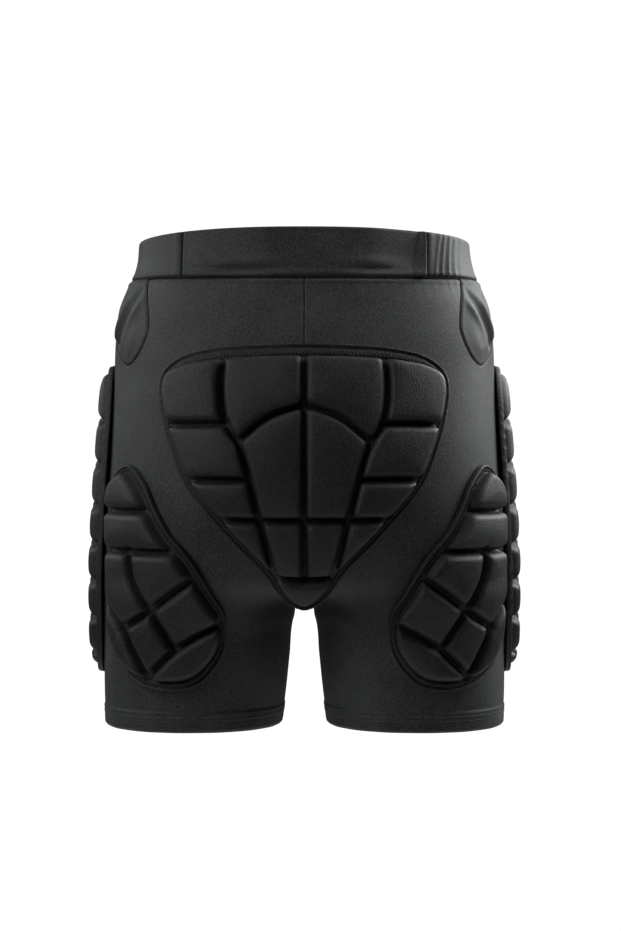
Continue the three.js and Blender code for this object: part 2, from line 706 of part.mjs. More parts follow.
const TAIL_PAD = {
  width: TAIL_PAD_WIDTH,
  height: TAIL_PAD_HEIGHT,
  foam: TAIL_FOAM,
  outline: bothHalves(TAIL_OUTLINE_HALF),
  grooves: bothWays(TAIL_GROOVES),
  surface: seatSurface,
};
const thighPad = (degrees) => ({
  width: THIGH_PAD_WIDTH,
  height: THIGH_PAD_HEIGHT,
  foam: THIGH_FOAM,
  outline: THIGH_OUTLINE,
  grooves: THIGH_GROOVES.map(({ path }) => path),
  surface: thighSurface(degrees),
});
const HIP_PAD = {
  width: HIP_PAD_WIDTH,
  height: HIP_PAD_HEIGHT,
  foam: HIP_FOAM,
  outline: bothHalves(HIP_OUTLINE_HALF),
  grooves: hipGrooves(),
  surface: hipSurface,
};

const padBacking = (pad) => bend(flatBacking(pad), pad.surface);
const padFoam = (pad) => bend(geometryOf(flatFoam(pad)), pad.surface);

// Assembly

const shorts = new THREE.Group();

function addPiece(name, geometry, colour) {
  geometry.computeVertexNormals();
  const material = new THREE.MeshStandardMaterial({ color: colour, roughness: 0.85, metalness: 0 });
  const mesh = new THREE.Mesh(geometry, material);
  mesh.name = name;
  shorts.add(mesh);
}

function addPair(name, geometry, colour) {
  addPiece(`${name}_right`, geometry, colour);
  addPiece(`${name}_left`, mirrored(geometry), colour);
}

addPair("panel", geometryOf(rightPanel()), COLOURS.cloth);
addPair("gusset", geometryOf(rightGusset()), COLOURS.gusset);
addPiece("waistband_back", bandSection(false), COLOURS.band);
addPiece("waistband_front", bandSection(true), COLOURS.band);
addPiece("tail_pad_backing", padBacking(TAIL_PAD), COLOURS.backing);
addPiece("tail_pad_foam", padFoam(TAIL_PAD), COLOURS.foam);
for (const [side, degrees] of Object.entries(THIGH_PAD_TURN)) {
  const pad = thighPad(degrees);
  const own = side === "left" ? mirrored : (geometry) => geometry;
  addPiece(`thigh_pad_backing_${side}`, own(padBacking(pad)), COLOURS.backing);
  addPiece(`thigh_pad_foam_${side}`, own(padFoam(pad)), COLOURS.foam);
}
addPair("hip_pad_backing", padBacking(HIP_PAD), COLOURS.backing);
addPair("hip_pad_foam", padFoam(HIP_PAD), COLOURS.foam);

export default shorts;
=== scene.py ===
"""Padded protective shorts in their worn shape, seen from the wearer's back.

Every surface follows the body's sections. Lengths are in millimetres until a mesh is made, apart from the
camera's, the lights' and the floor's, which are in metres. The wearer's right is +X and the front is +Y.
"""
import math

import bpy
import numpy as np
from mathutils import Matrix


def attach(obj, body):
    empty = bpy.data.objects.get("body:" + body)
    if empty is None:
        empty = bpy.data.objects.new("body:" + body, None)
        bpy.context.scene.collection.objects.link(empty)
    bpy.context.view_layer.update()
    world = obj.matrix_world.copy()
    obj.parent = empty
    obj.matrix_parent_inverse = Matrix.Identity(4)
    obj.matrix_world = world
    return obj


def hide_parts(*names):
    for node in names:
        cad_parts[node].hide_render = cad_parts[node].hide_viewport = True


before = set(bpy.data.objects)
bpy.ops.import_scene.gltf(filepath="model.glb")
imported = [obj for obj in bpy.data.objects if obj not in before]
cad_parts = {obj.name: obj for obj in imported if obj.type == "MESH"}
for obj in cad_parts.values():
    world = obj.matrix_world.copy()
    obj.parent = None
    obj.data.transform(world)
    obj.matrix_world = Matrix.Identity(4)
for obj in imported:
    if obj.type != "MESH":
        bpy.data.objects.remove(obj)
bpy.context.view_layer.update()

MM = 0.001

# Body: the outside of the cloth.
RISE = 303.0
INSEAM = 115.0
LENGTH = RISE + INSEAM
WAIST_WIDTH, WAIST_BACK, WAIST_FRONT = 287.0, 100.0, 94.0
HIP_WIDTH, SEAT_DEPTH, BELLY_DEPTH = 350.0, 136.5, 105.5
LEG_WIDTH, LEG_GAP, LEG_BACK, LEG_FRONT = 153.0, 40.0, 84.5, 84.0
SQUARENESS = 2.3

# Cloth and seams. Hem stitches are given by how far below the hem's edge they lie.
CLOTH = 2.0
SEAM_GAP = 0.3
HEM_HEIGHT = 17.0
HEM_RISE = 0.8
HEM_STITCHES = (3.6, 7.4)
HEM_STITCH_RADII = (0.4, 0.26)
HEM_STITCH_COUNT = 220
BAND_SIDE, BAND_BACK, BAND_FRONT = 34.0, 38.0, 37.0
BAND_THICKNESS = 3.0
RIM_BACK, RIM_FRONT = 4.3, -6.0
BAND_SEAM_X = 102.0
GUSSET_BACK, GUSSET_FRONT, GUSSET_DROP = 81.0, 6.0, 109.0
GUSSET_INNER_X = 60.0

# Pads.
PAD_CLEARANCE = 1.2
PAD_UNDERSIDE = 0.25
BACKING = 1.6
RIM_HEIGHT, RIM_RADIUS = 4.08, 1.6
GROOVE_FLOOR = 3.0
GROOVE_WEB = 0.7
GROOVE_SOFTNESS = 1.3
TAIL_PAD_DROP, THIGH_PAD_DROP, HIP_PAD_DROP = 95.0, 193.5, 106.0
THIGH_PAD_TURN = {"right": 18.5, "left": 15.0}
THIGH_AXIS, THIGH_RADIUS = 95.0, 100.0
HIP_PAD_FORWARD, HIP_PAD_FLATNESS = 6.0, 0.7

# Down the torso: share of RISE, size that the widths follow, half width, place of the leg, back, front.
TORSO_LEVELS = [
    (0, "waist", 1, 0, 1, 1),
    (0.056, "waist", 1.014, 0, 1.02, 1.02),
    (0.124, "waist", 1.059, 0, 1.06, 1.064),
    (0.193, "hips", 0.917, 0, 0.82, 0.976),
    (0.276, "hips", 0.943, 0, 0.879, 0.995),
    (0.386, "hips", 0.949, 0, 0.945, 1),
    (0.495, "hips", 0.957, 0.017, 0.985, 0.995),
    (0.62, "hips", 0.971, 0.063, 1, 0.967),
    (0.746, "hips", 0.985, 0.143, 0.982, 0.938),
    (0.855, "hips", 0.994, 0.246, 0.923, 0.91),
    (0.95, "hips", 1, 0.371, 0.835, 0.882),
    (1, "hips", 1, 0.494, 0.777, 0.867),
]
# Down the legs: share of INSEAM, then shares of the gap, width and depths at the hem.
LEG_LEVELS = [
    (0.2, 0.45, 1.085, 1.16, 1.065),
    (0.49, 0.65, 1.059, 1.077, 1.036),
    (0.75, 0.82, 1.034, 1.03, 1.018),
    (1, 1, 1, 1, 1),
]
# Gusset outline: share of the way to its front edge, share of its drop.
GUSSET_OUTLINE = [
    (0.33, 0.2), (0.26, 0.37), (0.1, 0.56), (0, 0.76), (0.06, 0.93), (0.19, 1),
    (0.36, 0.96), (0.6, 0.83), (0.84, 0.62), (0.96, 0.42), (1, 0.2),
]  # fmt: skip

# Pads: across is a share of half the width, down a share of the height.
TAIL_OUTLINE_HALF = [
    (0, 0), (0.31, 0.004), (0.63, 0.016), (0.85, 0.046), (0.97, 0.1), (1, 0.17), (0.98, 0.26),
    (0.93, 0.367), (0.82, 0.523), (0.64, 0.649), (0.47, 0.752), (0.295, 0.849), (0.175, 0.94),
    (0.085, 0.984), (0, 1),
]  # fmt: skip
TAIL_GROOVES_MIDDLE = [
    [(0, -0.05), (0, 0.24), (0, 0.86)],
    [(-0.8, 0.651), (0, 0.651), (0.8, 0.651)],
    [(-0.32, 0.852), (0, 0.864), (0.32, 0.852)],
]
TAIL_GROOVES_SIDE = [
    [(0.5, -0.05), (0.55, 0.15), (0.52, 0.3), (0.43, 0.385), (0.3, 0.656), (0.2, 0.86)],
    [(0, 0.234), (0.245, 0.282), (0.445, 0.37)],
    [(0.52, 0.305), (1.1, 0.305)],
    [(0.4, 0.508), (1.05, 0.508)],
]
THIGH_OUTLINE = [
    (0.43, 0), (0.83, 0.05), (0.985, 0.13), (0.98, 0.25), (0.96, 0.37), (0.955, 0.6), (0.955, 0.75),
    (0.79, 0.88), (0.42, 0.97), (-0.1, 1), (-0.55, 0.975), (-0.79, 0.915), (-0.96, 0.83),
    (-1, 0.745), (-0.94, 0.643), (-0.79, 0.57), (-0.47, 0.39), (-0.25, 0.3), (-0.05, 0.185),
    (0.12, 0.08),
]  # fmt: skip
THIGH_GROOVES = [
    [(-0.1, 0.2), (0.5, 0.204), (1.15, 0.2)],
    [(-0.45, 0.37), (0.3, 0.376), (1.15, 0.374)],
    [(0.32, 0.37), (0.26, 0.505), (0.055, 0.625), (-0.22, 0.785)],
    [(-0.65, 0.455), (0.055, 0.625), (0.5, 0.715)],
    [(-0.98, 0.665), (-0.31, 0.79), (0.17, 0.925)],
    [(0.95, 0.555), (0.52, 0.705), (0.38, 0.8), (0.15, 0.95)],
]
HIP_OUTLINE_HALF = [
    (0, 0), (0.46, 0.018), (0.74, 0.09), (0.9, 0.25), (1, 0.5), (0.95, 0.72), (0.78, 0.9),
    (0.45, 0.985), (0, 1),
]  # fmt: skip
HIP_ROWS = [0.155, 0.291, 0.42, 0.542, 0.662, 0.782, 0.907]
HIP_ROW_PLACES = (-1.15, -0.55, 0, 0.55, 1.15)
HIP_ROW_SAG = 0.06
HIP_COLUMN = 0.3

# The photograph's view, and the colour of the studio's lights.
CAMERA_DISTANCE = 1.7
CAMERA_X = 0.00528
CAMERA_Z = -0.194
FRAME_HEIGHT_PX = 931
M_PER_PX = 0.00088
SENSOR = 36.0
LIGHT_COLOUR = (0.98, 1.0, 1.0)


# Camera, light and floor


def add_camera():
    data = bpy.data.cameras.new("camera")
    data.sensor_width = SENSOR
    data.lens = SENSOR * CAMERA_DISTANCE / (FRAME_HEIGHT_PX * M_PER_PX)
    data.clip_end = 50
    camera = bpy.data.objects.new("camera", data)
    camera.location = (CAMERA_X, -CAMERA_DISTANCE, CAMERA_Z)
    camera.rotation_euler = (math.pi / 2, 0, 0)
    bpy.context.collection.objects.link(camera)
    bpy.context.scene.camera = camera


def add_light(name, place, target, size, power):
    data = bpy.data.lights.new(name, "AREA")
    data.shape = "RECTANGLE"
    data.size = data.size_y = size
    data.energy = power
    data.color = LIGHT_COLOUR
    light = bpy.data.objects.new(name, data)
    light.location = place
    way = np.array(target) - np.array(place)
    light.rotation_euler = (
        math.atan2(math.hypot(way[0], way[1]), -way[2]),
        0,
        math.atan2(way[1], way[0]) - math.pi / 2,
    )
    light.visible_camera = False
    bpy.context.collection.objects.link(light)


# Lights round the object: degrees from the camera's side towards the right, degrees up, size, watts.
STUDIO_LIGHTS = {
    "key_left": (-55, 25, 0.8, 10.0),
    "rim_left": (-112, 26, 0.8, 5.6),
    "side_right": (85, 38, 0.8, 12.5),
    "rim_right": (118, 30, 0.8, 22.0),
    "top": (8, 78, 0.4, 2.6),
}
LIGHT_REACH = 1.4
LIT_MIDDLE = (0, 0, -0.2)
# Strength of the world as a light, and as the camera sees it behind the object.
AMBIENT = 0.03
WHITE = 1.06


def add_studio():
    """Area lights, and a world that is white to the camera and dim as a light."""
    scene = bpy.context.scene
    scene.view_settings.view_transform = "Standard"
    scene.world = scene.world or bpy.data.worlds.new("studio")
    scene.world.use_nodes = True
    tree = scene.world.node_tree
    background = tree.nodes["Background"]
    background.inputs["Color"].default_value = (1, 1, 1, 1)
    path = tree.nodes.new("ShaderNodeLightPath")
    strength = tree.nodes.new("ShaderNodeMath")
    strength.operation = "MULTIPLY_ADD"
    strength.inputs[1].default_value = WHITE - AMBIENT
    strength.inputs[2].default_value = AMBIENT
    tree.links.new(path.outputs["Is Camera Ray"], strength.inputs[0])
    tree.links.new(strength.outputs[0], background.inputs["Strength"])
    for name, (around, up, size, power) in STUDIO_LIGHTS.items():
        a, e = math.radians(around), math.radians(up)
        way = (math.sin(a) * math.cos(e), -math.cos(a) * math.cos(e), math.sin(e))
        place = [m + LIGHT_REACH * w for m, w in zip(LIT_MIDDLE, way)]
        add_light(name, place, LIT_MIDDLE, size, power)


FLOOR_Z = -0.99
FLOOR_RADIUS = 1.3
FLOOR_CORNERS = 128
FLOOR_GREY = 0.75


def add_floor():
    turns = [2 * math.pi * k / FLOOR_CORNERS for k in range(FLOOR_CORNERS)]
    verts = [(FLOOR_RADIUS * math.cos(a), FLOOR_RADIUS * math.sin(a), FLOOR_Z) for a in turns]
    mesh = bpy.data.meshes.new("floor")
    mesh.from_pydata(verts, [], [tuple(range(FLOOR_CORNERS))])
    floor = bpy.data.objects.new("floor", mesh)
    material = bpy.data.materials.new("floor")
    material.use_nodes = True
    shader = material.node_tree.nodes["Principled BSDF"]
    shader.inputs["Base Color"].default_value = (FLOOR_GREY, FLOOR_GREY, FLOOR_GREY, 1)
    shader.inputs["Roughness"].default_value = 0.9
    mesh.materials.append(material)
    bpy.context.collection.objects.link(floor)


# Materials


def node(tree, kind, **inputs):
    made = tree.nodes.new(kind)
    for name, value in inputs.items():
        made.inputs[name.replace("_", " ")].default_value = value
    return made


# Noise of every fabric, in cycles a metre: broad mottling, speckle of the yarn and grain of the surface.
MOTTLE_SCALE, SPECKLE_SCALE, GRAIN_SCALE = 22, 760, 1400
COURSE_PITCH = 1.1
BUMP_DEPTH = 0.25
SHEEN_TINT = (0.85, 0.93, 1, 1)
# Where the mottling turns from the darkest colour into the lightest.
RAMP_START, RAMP_END = 0.42, 0.58

# Fabrics: darkest and lightest colour, distance of the ribs in mm, depth of ribs, grain, roughness, sheen.
FABRICS = {
    "cloth": ((0.0082, 0.0085, 0.0086), (0.034, 0.0356, 0.036), 1.2, 0.12, 2.4, 0.55, 0.09),
    "waistband": ((0.0082, 0.0085, 0.0086), (0.033, 0.0345, 0.0349), 1.2, 0.12, 2.4, 0.55, 0.09),
    "pad_cover": ((0.005, 0.0052, 0.0053), (0.0182, 0.019, 0.0193), 1.3, 0.3, 2.8, 0.43, 0.04),
    "thread": ((0.02, 0.0208, 0.021), (0.045, 0.0468, 0.0474), 0.6, 0.2, 0.4, 0.5, 0.05),
    "hem_thread": ((0.06, 0.0625, 0.063), (0.12, 0.125, 0.126), 0.6, 0.2, 0.4, 0.5, 0.05),
    # Painted shade: a near-black colour for the cords and centre stitches that stand in for the shade in
    # the seams.
    "seam_shade": ((0.002, 0.002, 0.002), (0.004, 0.004, 0.004), 0.6, 0.2, 0.4, 0.9, 0.0),
}


def fabric(name):
    """A knit: mottled colour, fine grain, ribs that run down the garment and courses across them."""
    dark, light, rib_pitch, rib_depth, grain, roughness, sheen = FABRICS[name]
    material = bpy.data.materials.new(name)
    material.use_nodes = True
    tree = material.node_tree
    shader = tree.nodes["Principled BSDF"]
    place = tree.nodes.new("ShaderNodeTexCoord").outputs["Object"]

    def noise(scale, detail):
        made = node(tree, "ShaderNodeTexNoise", Scale=scale, Detail=detail)
        tree.links.new(place, made.inputs["Vector"])
        return made.outputs["Fac"]

    def math_node(operation, a, b):
        made = tree.nodes.new("ShaderNodeMath")
        made.operation = operation
        for socket, value in zip(made.inputs, (a, b)):
            if isinstance(value, (int, float)):
                socket.default_value = value
            else:
                tree.links.new(value, socket)
        return made.outputs[0]

    def scaled(value, factor):
        return math_node("MULTIPLY", value, factor)

    def ribs(direction, pitch, distortion):
        scale = math.pi / 10 / (pitch * MM)
        wave = node(tree, "ShaderNodeTexWave", Scale=scale, Distortion=distortion, Detail=1.0)
        wave.bands_direction = direction
        tree.links.new(place, wave.inputs["Vector"])
        return wave.outputs["Fac"]

    mottle = math_node("ADD", scaled(noise(MOTTLE_SCALE, 3), 0.3), scaled(noise(SPECKLE_SCALE, 2), 0.7))
    ramp = tree.nodes.new("ShaderNodeValToRGB")
    ramp.color_ramp.elements[0].position = RAMP_START
    ramp.color_ramp.elements[0].color = (*dark, 1)
    ramp.color_ramp.elements[1].position = RAMP_END
    ramp.color_ramp.elements[1].color = (*light, 1)
    tree.links.new(mottle, ramp.inputs["Fac"])
    tree.links.new(ramp.outputs["Color"], shader.inputs["Base Color"])

    wales = scaled(ribs("X", rib_pitch, 0.6), rib_depth)
    courses = scaled(ribs("Z", COURSE_PITCH, 0.8), 0.5 * rib_depth)
    height = math_node("ADD", math_node("ADD", wales, courses), scaled(noise(GRAIN_SCALE, 2), grain))
    bump = node(tree, "ShaderNodeBump", Strength=0.7, Distance=BUMP_DEPTH * MM)
    tree.links.new(height, bump.inputs["Height"])
    tree.links.new(bump.outputs["Normal"], shader.inputs["Normal"])

    rough = node(tree, "ShaderNodeMapRange", To_Min=roughness - 0.06, To_Max=roughness + 0.08)
    tree.links.new(mottle, rough.inputs["Value"])
    tree.links.new(rough.outputs["Result"], shader.inputs["Roughness"])
    shader.inputs["Sheen Weight"].default_value = sheen
    shader.inputs["Sheen Roughness"].default_value = 0.45
    shader.inputs["Sheen Tint"].default_value = SHEEN_TINT
    shader.inputs["Specular IOR Level"].default_value = 0.3
    return material


# Body sections


def levels():
    """Rows of drop, centre, half width, back depth and front depth, from the waist to the hem."""
    sizes = {
        "waist": (WAIST_WIDTH / 2, WAIST_BACK, WAIST_FRONT),
        "hips": (HIP_WIDTH / 2, SEAT_DEPTH, BELLY_DEPTH),
    }
    rows = []
    for at, of, half, apart, back, front in TORSO_LEVELS:
        width, rear, fore = sizes[of]
        centre = apart * HIP_WIDTH / 2
        rows.append((at * RISE, centre, half * width - centre, back * rear, front * fore))
    for at, gap, wide, back, front in LEG_LEVELS:
        centre = (gap * LEG_GAP + wide * LEG_WIDTH) / 2
        rows.append((RISE + at * INSEAM, centre, wide * LEG_WIDTH / 2, back * LEG_BACK, front * LEG_FRONT))
    return np.array(rows)


LEVELS = levels()


def level_slopes():
    """How fast each measure changes at each level, for a curve without kinks."""
    drops = LEVELS[:, 0]
    gaps = np.diff(drops)[:, None]
    rates = np.diff(LEVELS[:, 1:], axis=0) / gaps
    inner = (rates[:-1] * gaps[1:] + rates[1:] * gaps[:-1]) / (gaps[:-1] + gaps[1:])
    return np.vstack([rates[:1], inner, rates[-1:]])


SLOPES = level_slopes()


def section(z):
    """Centre, half width, back depth and front depth of one side at each height z."""
    drop = np.clip(-np.asarray(z, float), 0, LENGTH)
    i = np.clip(np.searchsorted(LEVELS[:, 0], drop, side="left") - 1, 0, len(LEVELS) - 2)
    span = LEVELS[i + 1, 0] - LEVELS[i, 0]
    t = (drop - LEVELS[i, 0]) / span
    weights = (
        2 * t**3 - 3 * t**2 + 1,
        (t**3 - 2 * t**2 + t) * span,
        3 * t**2 - 2 * t**3,
        (t**3 - t**2) * span,
    )
    columns = [LEVELS[i, 1:], SLOPES[i], LEVELS[i + 1, 1:], SLOPES[i + 1]]
    found = sum(w[..., None] * column for w, column in zip(weights, columns))
    return tuple(np.moveaxis(found, -1, 0))


def ring_point(z, turn, grow=0.0):
    """A point of the outline at a turn from the outer side towards the front, moved out by grow."""
    centre, half, back, front = section(z)

    def power(value):
        return np.sign(value) * np.abs(value) ** (2 / SQUARENESS)

    depth = np.where(np.sin(turn) < 0, back, front)
    x = centre + (half + grow) * power(np.cos(turn))
    y = (depth + grow) * power(np.sin(turn))
    return np.stack(np.broadcast_arrays(x, y, z), axis=-1).astype(float)


def fall_off(share):
    """Depth of the outline, as a share of its most, at a share of the way out from the middle."""
    return np.maximum(0, 1 - np.clip(share, 0, 1) ** SQUARENESS) ** (1 / SQUARENESS)


def smooth(value, low, high):
    t = np.clip((value - low) / (high - low), 0, 1)
    return t * t * (3 - 2 * t)


def hump(value, width):
    return np.exp(-((value / width) ** 2))


# Outlines and distances


def spline(points, closed, spacing):
    """A centripetal Catmull-Rom curve through the points, sampled about every spacing."""
    pts = np.asarray(points, float)
    if closed:
        pts = np.vstack([pts[-1], pts, pts[0], pts[1]])
    else:
        pts = np.vstack([2 * pts[0] - pts[1], pts, 2 * pts[-1] - pts[-2]])
    out = []
    for p0, p1, p2, p3 in zip(pts, pts[1:], pts[2:], pts[3:]):
        t1 = math.dist(p0, p1) ** 0.5
        t2 = t1 + math.dist(p1, p2) ** 0.5
        t3 = t2 + math.dist(p2, p3) ** 0.5
        count = max(2, int(math.dist(p1, p2) / spacing))
        t = np.linspace(t1, t2, count, endpoint=False)[:, None]
        a1 = (t1 - t) / t1 * p0 + t / t1 * p1
        a2 = (t2 - t) / (t2 - t1) * p1 + (t - t1) / (t2 - t1) * p2
        a3 = (t3 - t) / (t3 - t2) * p2 + (t - t2) / (t3 - t2) * p3
        b1 = (t2 - t) / t2 * a1 + t / t2 * a2
        b2 = (t3 - t) / (t3 - t1) * a2 + (t - t1) / (t3 - t1) * a3
        out.append((t2 - t) / (t2 - t1) * b1 + (t - t1) / (t2 - t1) * b2)
    if not closed:
        out.append(pts[-2:-1])
    return np.vstack(out)


def nearest(points, line, closed):
    """Distance from each point to the line, and the place on it."""
    ends = np.vstack([line, line[:1]]) if closed else line
    a, way = ends[:-1], np.diff(ends, axis=0)
    best = np.full(len(points), np.inf)
    place = np.zeros_like(points)
    for start, step in zip(a, way):
        t = np.clip((points - start) @ step / max(step @ step, 1e-12), 0, 1)
        spot = start + t[:, None] * step
        far = np.hypot(*(points - spot).T)
        closer = far < best
        best[closer] = far[closer]
        place[closer] = spot[closer]
    return best, place


def inside(points, loop):
    x, y = points.T
    found = np.zeros(len(points), bool)
    for (x0, y0), (x1, y1) in zip(loop, np.roll(loop, -1, axis=0)):
        crosses = (y0 > y) != (y1 > y)
        found ^= crosses & (x < (x1 - x0) * (y - y0) / (y1 - y0 + 1e-12) + x0)
    return found


def signed_distance(points, loop):
    """How far each point lies inside the loop, and its place on it. Outside is negative."""
    far, place = nearest(points, loop, True)
    return np.where(inside(points, loop), far, -far), place


# Meshes


def add_piece(name, verts, faces, material, slot, replaced):
    mesh = bpy.data.meshes.new(name)
    mesh.from_pydata((np.asarray(verts) * MM).tolist(), [], faces)
    mesh.validate()
    mesh.shade_smooth()
    mesh.materials.append(material)
    piece = bpy.data.objects.new(name, mesh)
    bpy.context.collection.objects.link(piece)
    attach(piece, "root")
    if replaced:
        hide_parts(*replaced)
    return piece


def flipped(faces):
    return [tuple(reversed(f)) for f in faces]


def mirrored(verts, faces):
    return np.asarray(verts) * (-1, 1, 1), flipped(faces)


def grid_faces(rows, columns, offset=0):
    r, c = np.meshgrid(np.arange(rows - 1), np.arange(columns - 1), indexing="ij")
    a = (r * columns + c + offset).ravel()
    return np.stack([a, a + 1, a + columns + 1, a + columns], axis=1)


# Cloth


def seam_z(y):
    far = np.where(y < 0, WAIST_BACK, WAIST_FRONT)
    low = np.where(y < 0, BAND_BACK, BAND_FRONT)
    return -(BAND_SIDE + (low - BAND_SIDE) * (y / far) ** 2)


def rim_z(y):
    return np.where(y < 0, RIM_BACK * (y / WAIST_BACK) ** 2, RIM_FRONT * (y / WAIST_FRONT) ** 2)


def gusset_loop():
    """The gusset's seam, open at the waist: places in y and z."""
    width = GUSSET_BACK - GUSSET_FRONT
    path = [(-GUSSET_BACK + along * width, -down * GUSSET_DROP) for along, down in GUSSET_OUTLINE]
    return spline(path, False, 3)


def gusset_relief(points):
    """Height of the gusset: its fuller cloth, the seam round it and folds that lean forward."""
    flat = points[..., 1:].reshape(-1, 2)
    top = [(-GUSSET_FRONT, 0), (-GUSSET_BACK / 2, 0)]
    depth, _ = signed_distance(flat, np.vstack([gusset_loop(), top]))
    depth = np.where(points[..., 0].ravel() > GUSSET_INNER_X, depth, -50)
    y, z = flat.T
    raised = 0.7 * smooth(depth, -0.2, 1.2) + 1.6 * smooth(depth, 1, 14)
    seam_shade = -0.8 * hump(depth, 0.7)
    lean = y + 0.42 * (z + 70)
    long_fold = 2.6 * hump(lean + 43, 4.5) * smooth(-z, 40, 58) * smooth(z, -108, -92)
    dent = -2.0 * hump(lean + 53, 4.5) * smooth(-z, 45, 70)
    short_fold = 1.8 * hump(y + 65 + 0.3 * (z + 60), 3.5) * smooth(-z, 92, 60)
    tuck = -1.4 * hump(y + 59 + 0.3 * (z + 50), 2.5) * smooth(-z, 62, 40)
    edge = smooth(depth, 0, 7)
    return (raised + seam_shade + (long_fold + dent + short_fold + tuck) * edge).reshape(points.shape[:-1])


def cloth_relief(points):
    """Height of the stretched cloth over the plain body: seams, hem and shallow unevenness."""
    x, y, z = np.moveaxis(points, -1, 0)
    below = seam_z(y) - z
    waves = 0.4 * np.sin(x / 23 + z / 31 + 1.3) * np.sin(y / 19 - z / 27)
    drag = 0.35 * np.sin((x * 0.8 + z) / 5.5) * hump(x, 60) * smooth(-z, 262, 300) * smooth(z, -345, -310)
    ease = -1.5 * hump(below, 1.3) + 0.5 * hump(below - 3, 1.6)
    ease += 0.16 * np.sin(x / 2.1 + y / 1.9) * np.exp(-below / 9)
    back = (y < 0) & (z > -RISE)
    centre = np.where(back, -1.1 * hump(x, 0.7) + 0.3 * hump(x - 2.4, 1.1), 0)
    up = z + LENGTH
    hem = HEM_RISE * smooth(HEM_HEIGHT - up, -1.4, 1.0)
    needle = sum(-0.22 * hump(up - HEM_HEIGHT + drop, 0.7) for drop in HEM_STITCHES)
    tunnel = 0.15 * hump(up - HEM_HEIGHT + np.mean(HEM_STITCHES), 1.2)
    fold = -1.6 * hump(up, 1.2)
    fold += 0.22 * np.sin(np.arctan2(y, x - HIP_WIDTH / 4) * 17) * smooth(-up, -14, 0)
    return waves + drag + ease + centre + hem + needle + tunnel + fold


# How often a height that depends on its own place is worked out again, for the cloth and for the band.
CLOTH_PASSES, BAND_PASSES = 4, 5

# Grids of the panel: steps between the given places. Columns run from the back seam to the front one,
# and rows from the waist seam to the hem. Both are finest at seams, gusset and hem.
PANEL_COLUMNS = [(-1, 9), (-0.982, 46), (-0.5, 116), (0.02, 62), (1, 0)]
PANEL_ROWS = [(0, 72), (0.21, 62), (0.945, 30), (1, 0)]


def uneven(steps):
    parts = [np.linspace(a, b, count, endpoint=False) for (a, count), (b, _) in zip(steps, steps[1:])]
    return np.concatenate([*parts, [steps[-1][0]]])


def panel_mesh():
    """The right half of the shorts: an outer and an inner skin joined at their edges."""
    share = uneven(PANEL_COLUMNS)
    down = uneven(PANEL_ROWS)[:, None]
    columns, rows = len(share), len(down)
    top = -np.full(columns, BAND_SIDE)
    for _ in range(CLOTH_PASSES):
        z = top + down * (-LENGTH - top)
        centre, half, _, _ = section(z)
        open_share = np.clip(centre / half, 0, 1)
        turn = share * np.arccos(-(open_share ** (SQUARENESS / 2)))
        top = seam_z(ring_point(z, turn)[0, :, 1]) - SEAM_GAP / 2
    plain = ring_point(z, turn)
    relief = cloth_relief(plain) + gusset_relief(plain)
    outer = ring_point(z, turn, relief)
    inner_share = np.clip(centre / (half - CLOTH), 0, 1)
    inner = ring_point(z, share * np.arccos(-(inner_share ** (SQUARENESS / 2))), -CLOTH)
    for skin in (outer, inner):
        skin[..., 0] = np.maximum(skin[..., 0], 0)
    closed = (open_share >= 1).all(axis=1)
    count = rows * columns
    index = np.arange(2 * count)
    for r in np.flatnonzero(closed):
        for base in (0, count):
            index[base + r * columns + columns - 1] = base + r * columns
    faces = [*grid_faces(rows, columns)[:, ::-1], *grid_faces(rows, columns, count)]
    for r in range(rows - 1):
        if closed[r]:
            continue
        first, last = r * columns, r * columns + columns - 1
        faces.append((first, first + columns, first + columns + count, first + count))
        faces.append((last, last + count, last + columns + count, last + columns))
    for c in range(columns - 1):
        faces.append((c, c + count, c + 1 + count, c + 1))
        low = (rows - 1) * columns + c
        faces.append((low, low + 1, low + 1 + count, low + count))
    verts = np.vstack([outer.reshape(-1, 3), inner.reshape(-1, 3)])
    welded = []
    for face in faces:
        loop = list(dict.fromkeys(int(index[v]) for v in face))
        if len(loop) > 2:
            welded.append(tuple(loop))
    return verts, welded


# Waistband

# Puckers of the band beside its seam on the wearer's right: place as a share of the way round the front
# section, height and width of the ridge.
PUCKERS = [
    (-0.973, 1.7, 0.0055),
    (-0.951, 2.2, 0.006),
    (-0.924, 2.0, 0.0075),
    (-0.894, 1.2, 0.01),
    (-0.86, 0.5, 0.012),
]
PUCKER_LEAN = 0.03

# The band's grid: columns of each part, and rows up the outside, over the rim and down the inside.
BAND_COLUMNS = {"back": 260, "front": 460}
OUTSIDE_ROWS, RIM_ROWS, INSIDE_ROWS = 40, 8, 14


def pucker(share, up):
    ridges = [height * hump(share - at - PUCKER_LEAN * up**1.3, width) for at, height, width in PUCKERS]
    return sum(ridges) * (1 - 0.6 * up) * smooth(up, -0.02, 0.1)


def band_back_relief(x, up):
    """Two soft folds low on the back of the band, and the lip at its right seam."""
    low_fold = hump(up - 0.15, 0.065) - 0.45 * hump(up - 0.33, 0.08)
    reach = hump(x + 50, 30) + 0.8 * hump(x - 62, 26)
    lip = smooth(x, 86 + 12 * up, 99) - smooth(x, 99.6, 102)
    return -2.3 * low_fold * reach + 2.6 * lip


def band_back_lean(x, up):
    """How far the back of the band leaves the body's outline, as its stiffener has it."""
    return -3.0 * smooth(x, 50, 88) * smooth(-x, -101, -88 - 10 * up) * smooth(up, 0.1, 0.35)


